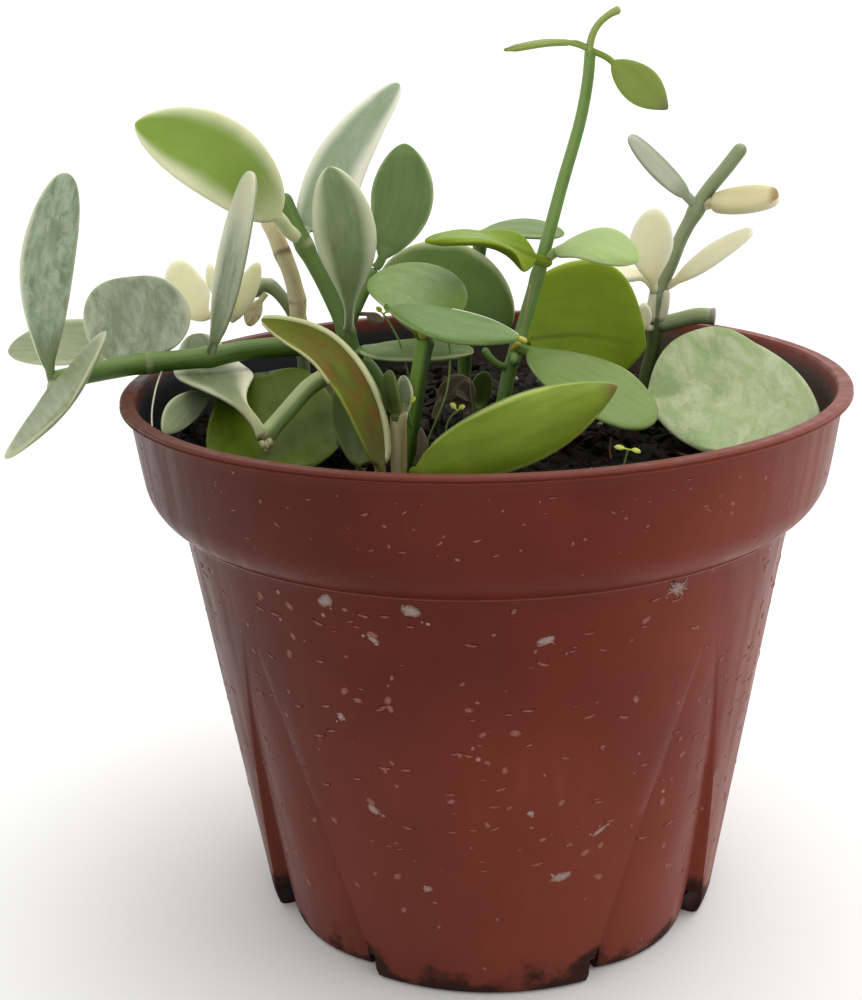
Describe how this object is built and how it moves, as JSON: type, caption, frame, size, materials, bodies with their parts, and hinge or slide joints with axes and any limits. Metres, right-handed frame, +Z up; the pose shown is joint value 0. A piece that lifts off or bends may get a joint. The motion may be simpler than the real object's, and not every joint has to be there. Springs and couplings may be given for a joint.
{
  "type": "potted dischidia plant",
  "caption": "Potted dischidia: a tapered moulded nursery pot full of soil, with leafy variegated cuttings that stand, lean and trail over its rim.",
  "frame": {"origin": "centre of the pot's underside, on the level that the pot stands on", "axes": "+Z up, -Y towards the pot's front, +X to the right of someone who faces the front"},
  "size_m": [0.1274, 0.105, 0.1319],
  "materials": {
    "pot": "satin",
    "soil": "rough",
    "green_foliage": "satin",
    "silver_foliage": "satin",
    "cream_foliage": "satin",
    "olive_foliage": "satin",
    "withered_foliage": "rough"
  },
  "bodies": {
    "root": {"pot": "pot", "soil": "soil", "trailing_stem": "silver_foliage", "arching_stem": "green_foliage", "leaning_stem": "silver_foliage", "old_stem": "cream_foliage", "cream_shoot_left": "cream_foliage", "low_leaf_left": "silver_foliage", "broad_leaf_left": "olive_foliage", "narrow_leaf_left": "silver_foliage", "withered_leaf": "withered_foliage", "bud_shoot": "silver_foliage", "front_stem": "green_foliage", "tall_stem": "green_foliage", "back_stem": "green_foliage", "cream_stem_right": "cream_foliage", "broad_leaf_right": "silver_foliage"}
  },
  "joints": []
}
